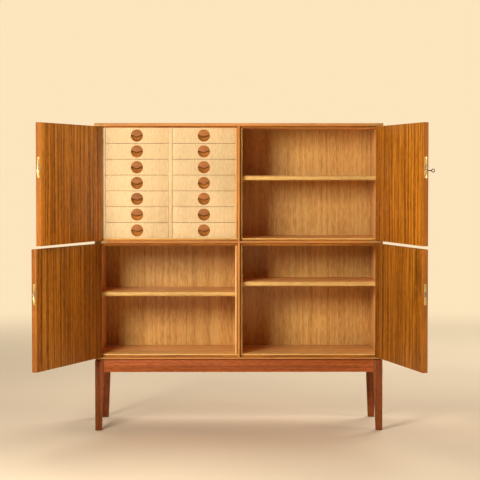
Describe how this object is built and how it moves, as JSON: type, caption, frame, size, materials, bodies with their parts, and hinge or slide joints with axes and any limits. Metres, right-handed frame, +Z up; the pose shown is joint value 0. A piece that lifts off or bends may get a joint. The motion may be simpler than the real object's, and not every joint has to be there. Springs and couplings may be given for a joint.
{
  "type": "highboard",
  "caption": "Wide wooden highboard on tapered legs, with four hinged doors, two columns of small drawers behind one door, and shelved bays.",
  "frame": {"origin": "on the floor, at the middle of the case's width, below the plane of its closed doors", "axes": "+X to the right seen from the front, +Y from the front to the back, +Z up"},
  "size_m": [1.5468, 0.9881, 1.282],
  "materials": {
    "mahogany": "red-brown satin lacquer",
    "drawer_wood": "pale lacquered oak",
    "door_teak": "oiled striped teak",
    "case_teak": "oiled teak outside, pale oak inside",
    "edge_teak": "oiled solid teak",
    "oak": "pale lacquered oak",
    "brass": "aged satin brass",
    "bolt_steel": "dark brushed steel",
    "key_metal": "worn nickel"
  },
  "bodies": {
    "cabinet": {"back_panel": "oak", "bottom_panel": "case_teak", "divider_lower": "oak", "divider_upper": "oak", "drawer_partition": "oak", "drawer_spacer": "oak", "front_frame": "edge_teak", "hinge_lower_left_bottom": "brass", "hinge_lower_left_top": "brass", "hinge_lower_right_bottom": "brass", "hinge_lower_right_top": "brass", "hinge_upper_left_bottom": "brass", "hinge_upper_left_top": "brass", "hinge_upper_right_bottom": "brass", "hinge_upper_right_top": "brass", "leg_front_left": "mahogany", "leg_front_right": "mahogany", "leg_rear_left": "mahogany", "leg_rear_right": "mahogany", "middle_panel": "oak", "rail_front": "mahogany", "rail_left": "mahogany", "rail_rear": "mahogany", "rail_right": "mahogany", "shelf_lower_left": "oak", "shelf_lower_right": "oak", "shelf_upper_right": "oak", "side_left": "case_teak", "side_right": "case_teak", "top_panel": "case_teak"},
    "door_upper_left": {"door_upper_left": "door_teak", "lock_upper_left": "brass"},
    "bolt_upper_left": {"bolt_upper_left": "bolt_steel"},
    "door_upper_right": {"door_upper_right": "door_teak", "lock_upper_right": "brass"},
    "bolt_upper_right": {"bolt_upper_right": "bolt_steel"},
    "door_lower_left": {"door_lower_left": "door_teak", "lock_lower_left": "brass"},
    "bolt_lower_left": {"bolt_lower_left": "bolt_steel"},
    "door_lower_right": {"door_lower_right": "door_teak", "lock_lower_right": "brass"},
    "bolt_lower_right": {"bolt_lower_right": "bolt_steel"},
    "key": {"key": "key_metal"},
    "drawer_left_1": {"drawer_left_1": "drawer_wood"},
    "drawer_left_2": {"drawer_left_2": "drawer_wood"},
    "drawer_left_3": {"drawer_left_3": "drawer_wood"},
    "drawer_left_4": {"drawer_left_4": "drawer_wood"},
    "drawer_left_5": {"drawer_left_5": "drawer_wood"},
    "drawer_left_6": {"drawer_left_6": "drawer_wood"},
    "drawer_left_7": {"drawer_left_7": "drawer_wood"},
    "drawer_right_1": {"drawer_right_1": "drawer_wood"},
    "drawer_right_2": {"drawer_right_2": "drawer_wood"},
    "drawer_right_3": {"drawer_right_3": "drawer_wood"},
    "drawer_right_4": {"drawer_right_4": "drawer_wood"},
    "drawer_right_5": {"drawer_right_5": "drawer_wood"},
    "drawer_right_6": {"drawer_right_6": "drawer_wood"},
    "drawer_right_7": {"drawer_right_7": "drawer_wood"}
  },
  "joints": [
    {"name": "door_upper_left_swing", "type": "hinge", "parent": "cabinet", "child": "door_upper_left", "pos_m": [-0.5875, 0.0025, 1.03125], "axis": [0, 0, -1], "range_deg": [-109, 6]},
    {"name": "door_upper_right_swing", "type": "hinge", "parent": "cabinet", "child": "door_upper_right", "pos_m": [0.5875, 0.0025, 1.03125], "axis": [0, 0, 1], "range_deg": [-103, 12]},
    {"name": "door_lower_left_swing", "type": "hinge", "parent": "cabinet", "child": "door_lower_left", "pos_m": [-0.5875, 0.0025, 0.54475], "axis": [0, 0, -1], "range_deg": [-111, 4]},
    {"name": "door_lower_right_swing", "type": "hinge", "parent": "cabinet", "child": "door_lower_right", "pos_m": [0.5875, 0.0025, 0.54475], "axis": [0, 0, 1], "range_deg": [-103, 12]},
    {"name": "bolt_upper_left_throw", "type": "slide", "parent": "door_upper_left", "child": "bolt_upper_left", "axis": [-0.3256, -0.9455, 0], "range_m": [0, 0.0045]},
    {"name": "bolt_upper_right_throw", "type": "slide", "parent": "door_upper_right", "child": "bolt_upper_right", "axis": [0.225, -0.9744, 0], "range_m": [0, 0.0045]},
    {"name": "bolt_lower_left_throw", "type": "slide", "parent": "door_lower_left", "child": "bolt_lower_left", "axis": [-0.3584, -0.9336, 0], "range_m": [0, 0.0045]},
    {"name": "bolt_lower_right_throw", "type": "slide", "parent": "door_lower_right", "child": "bolt_lower_right", "axis": [0.225, -0.9744, 0], "range_m": [0, 0.0045]},
    {"name": "key_turn", "type": "hinge", "parent": "door_upper_right", "child": "key", "pos_m": [0.71493, -0.54948, 1.0837], "axis": [0.9744, 0.225, 0], "range_deg": [0, 180]},
    {"name": "drawer_left_1_slide", "type": "slide", "parent": "cabinet", "child": "drawer_left_1", "axis": [0, -1, 0], "range_m": [0, 0.28]},
    {"name": "drawer_left_2_slide", "type": "slide", "parent": "cabinet", "child": "drawer_left_2", "axis": [0, -1, 0], "range_m": [0, 0.28]},
    {"name": "drawer_left_3_slide", "type": "slide", "parent": "cabinet", "child": "drawer_left_3", "axis": [0, -1, 0], "range_m": [0, 0.28]},
    {"name": "drawer_left_4_slide", "type": "slide", "parent": "cabinet", "child": "drawer_left_4", "axis": [0, -1, 0], "range_m": [0, 0.28]},
    {"name": "drawer_left_5_slide", "type": "slide", "parent": "cabinet", "child": "drawer_left_5", "axis": [0, -1, 0], "range_m": [0, 0.28]},
    {"name": "drawer_left_6_slide", "type": "slide", "parent": "cabinet", "child": "drawer_left_6", "axis": [0, -1, 0], "range_m": [0, 0.28]},
    {"name": "drawer_left_7_slide", "type": "slide", "parent": "cabinet", "child": "drawer_left_7", "axis": [0, -1, 0], "range_m": [0, 0.28]},
    {"name": "drawer_right_1_slide", "type": "slide", "parent": "cabinet", "child": "drawer_right_1", "axis": [0, -1, 0], "range_m": [0, 0.28]},
    {"name": "drawer_right_2_slide", "type": "slide", "parent": "cabinet", "child": "drawer_right_2", "axis": [0, -1, 0], "range_m": [0, 0.28]},
    {"name": "drawer_right_3_slide", "type": "slide", "parent": "cabinet", "child": "drawer_right_3", "axis": [0, -1, 0], "range_m": [0, 0.28]},
    {"name": "drawer_right_4_slide", "type": "slide", "parent": "cabinet", "child": "drawer_right_4", "axis": [0, -1, 0], "range_m": [0, 0.28]},
    {"name": "drawer_right_5_slide", "type": "slide", "parent": "cabinet", "child": "drawer_right_5", "axis": [0, -1, 0], "range_m": [0, 0.28]},
    {"name": "drawer_right_6_slide", "type": "slide", "parent": "cabinet", "child": "drawer_right_6", "axis": [0, -1, 0], "range_m": [0, 0.28]},
    {"name": "drawer_right_7_slide", "type": "slide", "parent": "cabinet", "child": "drawer_right_7", "axis": [0, -1, 0], "range_m": [0, 0.28]}
  ],
  "couplings": [
    {"joint": "key_turn", "follows": "bolt_upper_right_throw", "rad_per_m": 698.13}
  ]
}
